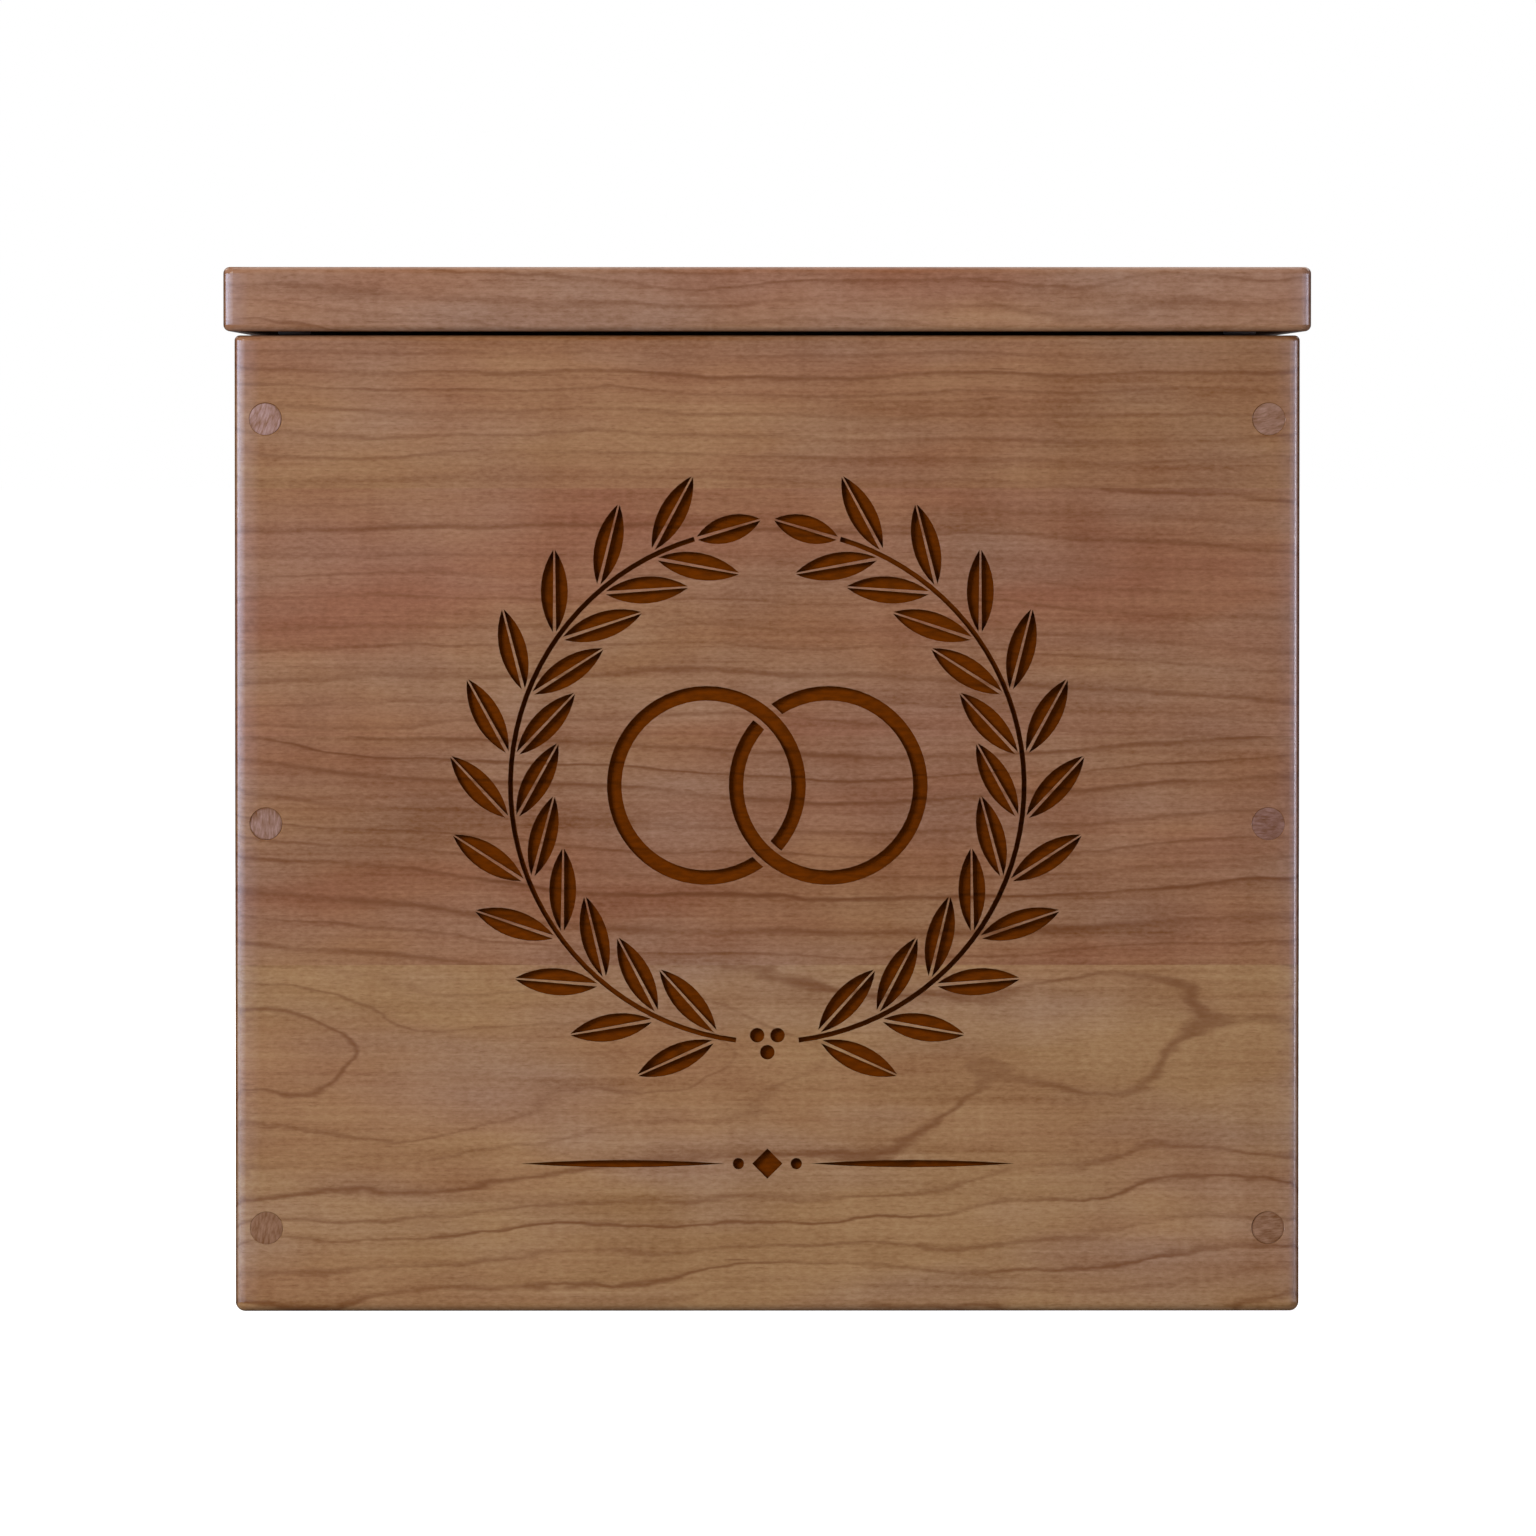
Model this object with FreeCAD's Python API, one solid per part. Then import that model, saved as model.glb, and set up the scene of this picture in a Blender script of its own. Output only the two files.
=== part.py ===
"""Wooden wedding card box: a screwed and plugged case, a hinged lid with a card slot, engraved front.

Frame: +Z up, the front faces -Y, origin at the centre of the bounding box's base. Millimetres.
The case is butt-jointed: front and back boards overlap the ends of the side boards, and each joint is
held by wood screws under round plugs. A thin bottom floats in a groove. Two brass butt hinges are let
into the back board and the lid, and matching bevels behind the pins stop the lid just past upright.
"""

import FreeCAD, Part
import math
import os

# Case boards
case_width = 323.4
case_depth = 300.0
case_height = 296.6
board_thickness = 19.0
case_upright_radius = 3.2
case_top_radius = 1.6
case_bottom_radius = 2.8
inner_edge_ease = 1.0

# Lid board
lid_thickness = 19.5
lid_gap = 1.2
lid_side_overhang = 3.2
lid_front_overhang = 4.1
lid_corner_radius = 3.0
lid_top_radius = 2.0
lid_bottom_radius = 2.0

# Card slot through the lid
slot_length = 240.0
slot_width = 15.0
slot_setback = 10.0
slot_edge_radius = 2.5

# Bottom panel in its groove
bottom_thickness = 6.0
bottom_height = 10.0
groove_depth = 6.0
groove_end_play = 0.5
groove_top_play = 0.2

# Case screws and the plugs over them
plug_diameter = 9.5
plug_length = 6.3
plug_rim_chamfer = 0.3
plug_play = 0.04
case_screw_rows = 3
case_screw_inset = 25.4
case_screw_head_diameter = 8.2
case_screw_head_height = 3.0
case_screw_diameter = 4.2
case_screw_length = 32.0
screw_play = 0.06
clearance_hole_play = 0.25
screw_point_length = 4.0
recess_width = 0.9
recess_depth = 0.7
case_recess_span = 5.0

# Butt hinges
hinge_inset = 62.0
hinge_length = 50.0
hinge_setback = 4.0
leaf_width = 13.5
leaf_thickness = 1.6
barrel_radius = 2.3
pin_diameter = 2.0
pin_play = 0.05
knuckle_count = 5
knuckle_play = 0.25
barrel_play = 0.35
mortise_play = 0.15
hinge_screw_count = 3
hinge_screw_spacing = 17.0
hinge_screw_setback = 8.0
hinge_screw_head_diameter = 5.0
hinge_screw_head_height = 1.2
hinge_screw_diameter = 2.6
hinge_screw_length = 13.0
hinge_recess_span = 3.0

# Lid travel, in degrees
lid_open_angle = 100.0
lid_stop_play = 0.6

# Rubber bumpers under the lid's front corners
bumper_diameter = 10.0
bumper_side_inset = 18.0
bumper_play = 0.1
bumper_edge_radius = 0.6

# Engraved wreath, rings and rule on the front board
engrave_depth = 2.0
wreath_height = 160.0
wreath_radius = 78.0
wreath_stations = 11
wreath_bottom_gap = 7.0
wreath_top_gap = 16.5
first_leaf_share = 0.35
stem_width = 1.5
leaf_length = 25.0
tip_leaf_length = 20.0
leaf_bulge = 4.1
leaf_splay = 36.0
leaf_rib = 1.0
leaf_tip_rib = 0.5
leaf_stem_gap = 0.9
berry_radius = 2.2
berry_spread = 6.2
ring_radius = 28.0
ring_stroke = 4.4
ring_offset = 18.5
ring_pass_gap = 1.4
rule_height = 45.0
rule_length = 62.0
rule_width = 2.2
rule_start = 13.0
rule_bead_radius = 1.7
rule_diamond = 4.6

# Derived places
overall_depth = case_depth + lid_front_overhang
case_back = overall_depth / 2
case_front = case_back - case_depth
inner_half_width = case_width / 2 - board_thickness
inner_front = case_front + board_thickness
inner_back = case_back - board_thickness
lid_bottom = case_height + lid_gap
lid_top = lid_bottom + lid_thickness
lid_front = case_front - lid_front_overhang
lid_half_width = case_width / 2 + lid_side_overhang
pin_y = case_back - hinge_setback
pin_z = case_height + lid_gap / 2
bevel_angle = math.radians((lid_open_angle + lid_stop_play) / 2)
hinge_centres = {"left": -case_width / 2 + hinge_inset, "right": case_width / 2 - hinge_inset}
side_screw_x = case_width / 2 - board_thickness / 2
counterbore_depth = plug_length + case_screw_head_height + screw_play
beyond = 5.0  # how far a cut runs past the face it opens
hair = 1e-4  # slack in picking edges by place


def vec(x, y, z):
    return FreeCAD.Vector(x, y, z)


def block(x0, x1, y0, y1, z0, z1):
    """Box between two corners."""
    return Part.makeBox(x1 - x0, y1 - y0, z1 - z0, vec(x0, y0, z0))


def rod(radius, length, start, direction):
    return Part.makeCylinder(radius, length, start, direction)


def prism_along_x(points, x0, x1):
    """Solid with a polygon of (y, z) points as its section, from x0 to x1."""
    corners = [vec(x0, y, z) for y, z in points]
    face = Part.Face(Part.makePolygon(corners + corners[:1]))
    return face.extrude(vec(x1 - x0, 0, 0))


def edges_where(shape, test):
    """Edges whose bounding box passes the test."""
    return [e for e in shape.Edges if test(e.BoundBox)]


# Case


def case_envelope():
    """Outer block of the case, with every outer edge rounded over."""
    solid = block(-case_width / 2, case_width / 2, case_front, case_back, 0, case_height)
    solid = solid.makeFillet(case_upright_radius, edges_where(solid, lambda b: b.ZLength > hair))
    solid = solid.makeFillet(case_top_radius, edges_where(solid, lambda b: b.ZMin > case_height - hair))
    return solid.makeFillet(case_bottom_radius, edges_where(solid, lambda b: b.ZMax < hair))


def inner_ease():
    """Frustum that eases the inner arris along the top of the four boards."""

    def rectangle(grow, z):
        x, y0, y1 = inner_half_width + grow, inner_front - grow, inner_back + grow
        corners = [vec(-x, y0, z), vec(x, y0, z), vec(x, y1, z), vec(-x, y1, z)]
        return Part.makePolygon(corners + corners[:1])

    low = rectangle(0, case_height - inner_edge_ease)
    high = rectangle(2 * inner_edge_ease, case_height + inner_edge_ease)
    return Part.makeLoft([low, high], True, True)


def bottom_groove():
    """Groove round the inside for the bottom panel, as one flat block."""
    x = inner_half_width + groove_depth
    top = bottom_height + bottom_thickness + groove_top_play
    return block(-x, x, inner_front - groove_depth, inner_back + groove_depth, bottom_height, top)


def case_screw_heights():
    rise = (case_height - 2 * case_screw_inset) / (case_screw_rows - 1)
    return [case_screw_inset + row * rise for row in range(case_screw_rows)]


def screw_lines(face_y, inward):
    """Start point and direction of each case screw on the front or the back face."""
    return [(vec(x, face_y, z), vec(0, inward, 0))
            for x in (-side_screw_x, side_screw_x) for z in case_screw_heights()]


def screw_seats(face_y, inward):
    """Counterbores with eased rims, and clearance holes, for one face's case screws."""
    hole = plug_diameter / 2 + plug_play
    cuts = []
    for start, way in screw_lines(face_y, inward):
        rim = hole + plug_rim_chamfer
        cuts.append(rod(hole, counterbore_depth, start, way))
        cuts.append(Part.makeCone(rim, hole, plug_rim_chamfer, start, way))
        cuts.append(rod(case_screw_diameter / 2 + clearance_hole_play, board_thickness, start, way))
    return cuts


def pilot_holes():
    """Holes in the ends of the side boards for the case screws."""
    radius = case_screw_diameter / 2 + screw_play
    reach = counterbore_depth + case_screw_length + screw_play
    lines = screw_lines(case_front, 1) + screw_lines(case_back, -1)
    return [rod(radius, reach, start, way) for start, way in lines]


def front_panel():
    solid = block(-case_width / 2, case_width / 2, case_front, inner_front, 0, case_height)
    solid = solid.common(case_envelope())
    cuts = [bottom_groove(), inner_ease(), *screw_seats(case_front, 1), *engraving()]
    return solid.cut(cuts)


def back_panel():
    solid = block(-case_width / 2, case_width / 2, inner_back, case_back, 0, case_height)
    solid = solid.common(case_envelope())
    cuts = [bottom_groove(), inner_ease(), *screw_seats(case_back, -1), stop_bevel(-1)]
    for centre in hinge_centres.values():
        cuts += hinge_mortise(centre, -1)
        cuts += hinge_screw_holes(centre, -1)
    return solid.cut(cuts)


def side_panel(side):
    edge, inner = side * case_width / 2, side * inner_half_width
    solid = block(min(edge, inner), max(edge, inner), inner_front, inner_back, 0, case_height)
    return solid.common(case_envelope()).cut([bottom_groove(), inner_ease(), *pilot_holes()])


def bottom_panel():
    reach = groove_depth - groove_end_play
    x = inner_half_width + reach
    top = bottom_height + bottom_thickness
    return block(-x, x, inner_front - reach, inner_back + reach, bottom_height, top)


# Case fasteners


def screw_plug(start, way):
    """Round plug flush with the board, its rim eased where it meets the hole."""
    radius = plug_diameter / 2
    solid = rod(radius, plug_length, start, way)
    rim = edges_where(solid, lambda b: b.YLength < hair and abs(b.YMin - start.y) < hair)
    return solid.makeChamfer(plug_rim_chamfer, rim)


def cross_recess(start, way, across, up, span):
    """Two crossed slots in a screw head: across and up are unit vectors in the head's face."""
    slots = []
    for along, aside in ((across, up), (up, across)):
        corner = start - along * (span / 2) - aside * (recess_width / 2)
        points = [corner, corner + along * span, corner + along * span + aside * recess_width,
                  corner + aside * recess_width]
        face = Part.Face(Part.makePolygon(points + points[:1]))
        slots.append(face.extrude(way * recess_depth))
    return slots


def case_screw(start, way):
    """Cylinder-head wood screw seated at the bottom of its counterbore."""
    head_top = start + way * (plug_length + screw_play)
    under_head = head_top + way * case_screw_head_height
    radius = case_screw_diameter / 2
    straight = case_screw_length - screw_point_length
    head = rod(case_screw_head_diameter / 2, case_screw_head_height, head_top, way)
    shank = rod(radius, straight, under_head, way)
    point = Part.makeCone(radius, 0, screw_point_length, under_head + way * straight, way)
    solid = head.fuse([shank, point]).removeSplitter()
    return solid.cut(cross_recess(head_top, way, vec(1, 0, 0), vec(0, 0, 1), case_recess_span))


# Lid


def stop_bevel(side):
    """Wedge behind the hinge pins: side -1 is cut from the case's back board, +1 from the lid."""
    reach = hinge_setback + beyond
    rise = side * reach * math.tan(bevel_angle)
    points = [(pin_y, pin_z), (pin_y + reach, pin_z), (pin_y + reach, pin_z + rise)]
    return prism_along_x(points, -lid_half_width - beyond, lid_half_width + beyond)


def card_slot():
    """Long slot with round ends, straight through the lid."""
    half = (slot_length - slot_width) / 2
    y = case_back - case_depth / 2 + slot_setback
    z0, height = lid_bottom - beyond, lid_thickness + 2 * beyond
    middle = block(-half, half, y - slot_width / 2, y + slot_width / 2, z0, z0 + height)
    ends = [rod(slot_width / 2, height, vec(x, y, z0), vec(0, 0, 1)) for x in (-half, half)]
    return middle.fuse(ends).removeSplitter()


def lid_board():
    solid = block(-lid_half_width, lid_half_width, lid_front, case_back, lid_bottom, lid_top)
    upright = edges_where(solid, lambda b: b.ZLength > lid_thickness / 2)
    solid = solid.makeFillet(lid_corner_radius, upright)
    solid = solid.makeFillet(lid_top_radius, edges_where(solid, lambda b: b.ZMin > lid_top - hair))
    solid = solid.makeFillet(lid_bottom_radius, edges_where(solid, lambda b: b.ZMax < lid_bottom + hair))
    solid = solid.cut(card_slot())

    def on_slot_rim(b):
        flat = b.ZLength < hair and min(abs(b.ZMin - lid_bottom), abs(b.ZMin - lid_top)) < hair
        reach = max(abs(b.XMin), abs(b.XMax))
        return flat and reach < slot_length / 2 + hair and b.YLength < slot_width + hair

    solid = solid.makeFillet(slot_edge_radius, edges_where(solid, on_slot_rim))
    cuts = [stop_bevel(1)]
    for centre in hinge_centres.values():
        cuts += hinge_mortise(centre, 1)
        cuts += hinge_screw_holes(centre, 1)
    return solid.cut(cuts)


def lid_bumpers():
    """Rubber dots stuck under the lid's front corners, just clear of the front board's top edge."""
    y = (case_front + inner_front) / 2
    thickness = lid_gap - bumper_play
    foot = lid_bottom - thickness
    dots = []
    for side in (-1, 1):
        x = side * (case_width / 2 - bumper_side_inset)
        dot = rod(bumper_diameter / 2, thickness, vec(x, y, foot), vec(0, 0, 1))
        rim = edges_where(dot, lambda b: b.ZMax < foot + hair)
        dots.append(dot.makeFillet(min(bumper_edge_radius, thickness / 2), rim))
    return Part.makeCompound(dots)


# Hinges: side -1 is the case's leaf below the pin, +1 the lid's leaf above it


def leaf_block(centre, side, play=0.0):
    """The flat of a leaf, grown sideways and forwards by play."""
    half = hinge_length / 2 + play
    outer, inner = pin_z + side * barrel_radius, pin_z + side * (barrel_radius - leaf_thickness)
    low, high = min(outer, inner), max(outer, inner)
    return block(centre - half, centre + half, pin_y - leaf_width - play, pin_y, low, high)


def barrel(centre, radius, play=0.0):
    length = hinge_length + 2 * play
    return rod(radius, length, vec(centre - length / 2, pin_y, pin_z), vec(1, 0, 0))


def hinge_mortise(centre, side):
    """Recess for one leaf, open to the joint line, and the hollow for the barrel."""
    half = hinge_length / 2 + mortise_play
    floor = pin_z + side * barrel_radius
    front = pin_y - leaf_width - mortise_play
    low, high = min(floor, pin_z), max(floor, pin_z)
    recess = block(centre - half, centre + half, front, case_back + beyond, low, high)
    return [recess, barrel(centre, barrel_radius + barrel_play, mortise_play)]


def knuckle_spans(centre, side):
    """Start and length of each knuckle on one leaf: the case's leaf has the first, the third and so on."""
    pitch = hinge_length / knuckle_count
    first = 0 if side < 0 else 1
    return [(centre - hinge_length / 2 + i * pitch, pitch) for i in range(first, knuckle_count, 2)]


def hinge_screw_starts(centre, side):
    """Where each hinge screw's head lies, flush with the leaf's inner face."""
    z = pin_z + side * (barrel_radius - leaf_thickness)
    first = -(hinge_screw_count - 1) / 2
    return [vec(centre + (first + i) * hinge_screw_spacing, pin_y - hinge_screw_setback, z)
            for i in range(hinge_screw_count)]


def hinge_screw_holes(centre, side):
    """Pilot holes in the wood for one leaf's screws."""
    radius = hinge_screw_diameter / 2 + screw_play
    reach = hinge_screw_length + screw_play
    return [rod(radius, reach, start, vec(0, 0, side)) for start in hinge_screw_starts(centre, side)]


def hinge_screw(start, side):
    """Countersunk wood screw, its head just below the leaf's face."""
    way = vec(0, 0, side)
    head_radius, radius = hinge_screw_head_diameter / 2 - screw_play, hinge_screw_diameter / 2
    head_top = start + way * screw_play
    under_head = head_top + way * hinge_screw_head_height
    straight = hinge_screw_length - hinge_screw_head_height - screw_point_length
    head = Part.makeCone(head_radius, radius, hinge_screw_head_height, head_top, way)
    shank = rod(radius, straight, under_head, way)
    point = Part.makeCone(radius, 0, screw_point_length, under_head + way * straight, way)
    solid = head.fuse([shank, point]).removeSplitter()
    return solid.cut(cross_recess(head_top, way, vec(1, 0, 0), vec(0, 1, 0), hinge_recess_span))


def hinge_leaf(centre, side):
    """One leaf with its knuckles, bored for the pin and countersunk for its screws."""
    solid = leaf_block(centre, side)
    own = knuckle_spans(centre, side)
    gaps = knuckle_spans(centre, -side)
    axis = vec(1, 0, 0)
    knuckles = [rod(barrel_radius, length - knuckle_play, vec(x + knuckle_play / 2, pin_y, pin_z), axis)
                for x, length in own]
    clear = barrel_radius + barrel_play
    notches = [rod(clear, length + knuckle_play, vec(x - knuckle_play / 2, pin_y, pin_z), axis)
               for x, length in gaps]
    bore = barrel(centre, pin_diameter / 2 + pin_play, beyond)
    cuts = [bore]
    way = vec(0, 0, side)
    for start in hinge_screw_starts(centre, side):
        head, shank = hinge_screw_head_diameter / 2 + screw_play, hinge_screw_diameter / 2 + screw_play
        cuts.append(rod(shank, leaf_thickness + beyond, start, way))
        cuts.append(Part.makeCone(head, shank, hinge_screw_head_height + screw_play, start, way))
    return solid.cut(notches).fuse(knuckles).removeSplitter().cut(cuts)


def hinge_pin(centre):
    return barrel(centre, pin_diameter / 2)


# Engraving: outlines lie in the front face, as (across, up) points


def engraved(edges):
    """Pocket of the engraving's depth under a closed outline of edges on the front face."""
    face = Part.Face(Part.Wire(Part.__sortEdges__(edges)))
    return face.extrude(vec(0, engrave_depth + beyond, 0))


def on_face(u, v):
    return vec(u, case_front - beyond, v)


def engraved_disc(u, v, radius):
    return rod(radius, engrave_depth + beyond, on_face(u, v), vec(0, 1, 0))


def engraved_loop(u, v, radius, stroke):
    """Round groove of even width."""
    outer = engraved_disc(u, v, radius + stroke / 2)
    return outer.cut(engraved_disc(u, v, radius - stroke / 2))


def half_leaf(base, heading, flip, length, side):
    """Half of a pointed leaf: a straight rib edge and an arc, from base along heading in degrees."""
    a = math.radians(heading)
    along, across = (math.cos(a), math.sin(a)), (-math.sin(a), math.cos(a))

    def point(s, t):
        u = base[0] + along[0] * s + across[0] * t * side
        v = base[1] + along[1] * s + across[1] * t * side
        return on_face(flip * u, v)

    foot, tip = point(0, leaf_rib / 2), point(length, leaf_tip_rib / 2)
    outer = Part.Arc(foot, point(length / 2, leaf_bulge), tip).toShape()
    return engraved([Part.LineSegment(foot, tip).toShape(), outer])


def wreath_point(radius, angle):
    a = math.radians(angle)
    return radius * math.cos(a), wreath_height + radius * math.sin(a)


def wreath_branch(flip):
    """One laurel branch from the bottom to the top: flip 1 is the right one, -1 the left."""
    low, high = -90 + wreath_bottom_gap, 90 - wreath_top_gap
    pitch = (high - low) / wreath_stations
    pockets = [branch_stem(flip, low, high)]
    reach = stem_width / 2 + leaf_stem_gap
    for station in range(wreath_stations):
        angle = low + (station + first_leaf_share) * pitch
        for outward in (1, -1):
            base = wreath_point(wreath_radius + outward * reach, angle)
            heading = angle + 90 - outward * leaf_splay
            pockets += [half_leaf(base, heading, flip, leaf_length, side) for side in (-1, 1)]
    tip = wreath_point(wreath_radius, high + math.degrees(leaf_stem_gap / wreath_radius))
    pockets += [half_leaf(tip, high + 90, flip, tip_leaf_length, side) for side in (-1, 1)]
    return pockets


def branch_stem(flip, low, high):
    """Curved groove of even width with square ends, along the branch."""

    def at(radius, angle):
        u, v = wreath_point(radius, angle)
        return on_face(flip * u, v)

    outer, inner, middle = wreath_radius + stem_width / 2, wreath_radius - stem_width / 2, (low + high) / 2
    return engraved([
        Part.Arc(at(outer, low), at(outer, middle), at(outer, high)).toShape(),
        Part.LineSegment(at(outer, high), at(inner, high)).toShape(),
        Part.Arc(at(inner, high), at(inner, middle), at(inner, low)).toShape(),
        Part.LineSegment(at(inner, low), at(outer, low)).toShape(),
    ])


def berries():
    """Three dots in the gap at the foot of the wreath."""
    u, v = wreath_point(wreath_radius, -90)
    half, rise = berry_spread / 2, berry_spread / 3
    places = [(-half, rise), (half, rise), (0, -half)]
    return [engraved_disc(u + du, v + dv, berry_radius) for du, dv in places]


def wedding_rings():
    """Two linked bands: each passes behind the other once, where its groove is broken."""
    pockets = []
    for side in (-1, 1):
        band = engraved_loop(side * ring_offset, wreath_height, ring_radius, ring_stroke)
        over = engraved_loop(-side * ring_offset, wreath_height, ring_radius, ring_stroke + 2 * ring_pass_gap)
        size = ring_radius + ring_stroke
        y0, y1 = case_front - 2 * beyond, case_front + beyond
        v0, v1 = sorted((wreath_height, wreath_height + side * size))
        pockets.append(band.cut(over.common(block(-ring_offset, ring_offset, y0, y1, v0, v1))))
    return pockets


def ruled_line():
    """Rule below the wreath: a diamond, a bead each side and two tapering strokes."""
    corners = [on_face(du, rule_height + dv) for du, dv in
               ((-rule_diamond, 0), (0, rule_diamond), (rule_diamond, 0), (0, -rule_diamond))]
    pockets = [engraved(Part.makePolygon(corners + corners[:1]).Edges)]
    for side in (-1, 1):
        bead = side * (rule_diamond + rule_start) / 2
        pockets.append(engraved_disc(bead, rule_height, rule_bead_radius))
        start, end = side * rule_start, side * (rule_start + rule_length)
        middle = (start + end) / 2
        pockets.append(engraved([
            Part.Arc(on_face(start, rule_height), on_face(middle, rule_height + rule_width / 2),
                     on_face(end, rule_height)).toShape(),
            Part.Arc(on_face(end, rule_height), on_face(middle, rule_height - rule_width / 2),
                     on_face(start, rule_height)).toShape(),
        ]))
    return pockets


def engraving():
    return [*wreath_branch(1), *wreath_branch(-1), *berries(), *wedding_rings(), *ruled_line()]


# All pieces, by node name


def pieces():
    made = {
        "front_panel": front_panel(),
        "back_panel": back_panel(),
        "left_side_panel": side_panel(-1),
        "right_side_panel": side_panel(1),
        "bottom_panel": bottom_panel(),
        "lid_board": lid_board(),
        "lid_bumpers": lid_bumpers(),
    }
    for face, face_y, inward in (("front", case_front, 1), ("back", case_back, -1)):
        lines = screw_lines(face_y, inward)
        for hand, side in (("left", -1), ("right", 1)):
            own = [line for line in lines if line[0].x * side > 0]
            made[f"{face}_{hand}_plugs"] = Part.makeCompound([screw_plug(*line) for line in own])
            made[f"{face}_{hand}_screws"] = Part.makeCompound([case_screw(*line) for line in own])
    for hand, centre in hinge_centres.items():
        made[f"{hand}_hinge_case_leaf"] = hinge_leaf(centre, -1)
        made[f"{hand}_hinge_lid_leaf"] = hinge_leaf(centre, 1)
        made[f"{hand}_hinge_pin"] = hinge_pin(centre)
        for owner, side in (("case", -1), ("lid", 1)):
            screws = [hinge_screw(start, side) for start in hinge_screw_starts(centre, side)]
            made[f"{hand}_hinge_{owner}_screws"] = Part.makeCompound(screws)
    return made


def main():
    os.makedirs("parts", exist_ok=True)
    for name, shape in pieces().items():
        shape.exportStep(f"parts/{name}.step")
        state = "valid" if shape.isValid() else "INVALID"
        print(name, len(shape.Solids), "solids", round(shape.Volume, 1), "mm3", state)


main()
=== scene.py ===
"""Looks of the wooden card box.

Cherry boards with a burnt engraving, wood plugs, brass hinges and rubber bumpers. Sizes on the object are in
millimetres, sizes on the stage in metres, and colours are linear light.
"""

import math
from collections import namedtuple

import bpy
import numpy as np
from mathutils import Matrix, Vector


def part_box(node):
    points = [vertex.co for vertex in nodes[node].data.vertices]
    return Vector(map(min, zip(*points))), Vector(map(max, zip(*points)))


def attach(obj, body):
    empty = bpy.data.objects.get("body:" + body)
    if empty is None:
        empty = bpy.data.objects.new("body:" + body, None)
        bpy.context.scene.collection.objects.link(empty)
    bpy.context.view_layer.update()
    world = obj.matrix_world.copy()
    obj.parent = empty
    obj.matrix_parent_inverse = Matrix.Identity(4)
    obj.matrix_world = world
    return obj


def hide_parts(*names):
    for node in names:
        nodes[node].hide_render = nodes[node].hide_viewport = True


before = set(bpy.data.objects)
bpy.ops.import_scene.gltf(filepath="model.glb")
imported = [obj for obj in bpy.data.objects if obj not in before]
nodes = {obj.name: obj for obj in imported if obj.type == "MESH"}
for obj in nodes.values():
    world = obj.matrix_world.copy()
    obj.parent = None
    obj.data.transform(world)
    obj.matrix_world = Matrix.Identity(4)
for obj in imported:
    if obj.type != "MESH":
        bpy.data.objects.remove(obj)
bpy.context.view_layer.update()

MM = 0.001
PER_MM = 1000.0


def node_corners(name):
    """A node's lowest and highest corners at rest, in millimetres."""
    return [np.array(corner) * PER_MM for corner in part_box(name)]


# Finish colours
cherry_red = (0.258, 0.096, 0.043)
cherry_gold = (0.290, 0.146, 0.056)
cherry_drab = (0.275, 0.150, 0.092)
cherry_line = (0.135, 0.037, 0.004)
cherry_fleck = (0.140, 0.040, 0.004)
# Burnt walls, darkened past their burn as painted shade inside the engraved pockets
burnt_wall_and_shade = (0.012, 0.004, 0.001)
burnt_floor = (0.150, 0.030, 0.0008)
ply_pale = (0.430, 0.270, 0.150)
ply_dark = (0.300, 0.170, 0.085)
brass_bright = (0.760, 0.520, 0.190)
brass_dull = (0.480, 0.300, 0.100)
# Painted shade inside the screws' cross recesses
recess_shade = (0.050, 0.030, 0.010)
steel_grey = (0.520, 0.520, 0.500)
steel_dull = (0.330, 0.340, 0.320)
rubber_brown = (0.045, 0.028, 0.020)
rubber_pale = (0.065, 0.042, 0.030)
white = (1.0, 1.0, 1.0)


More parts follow.
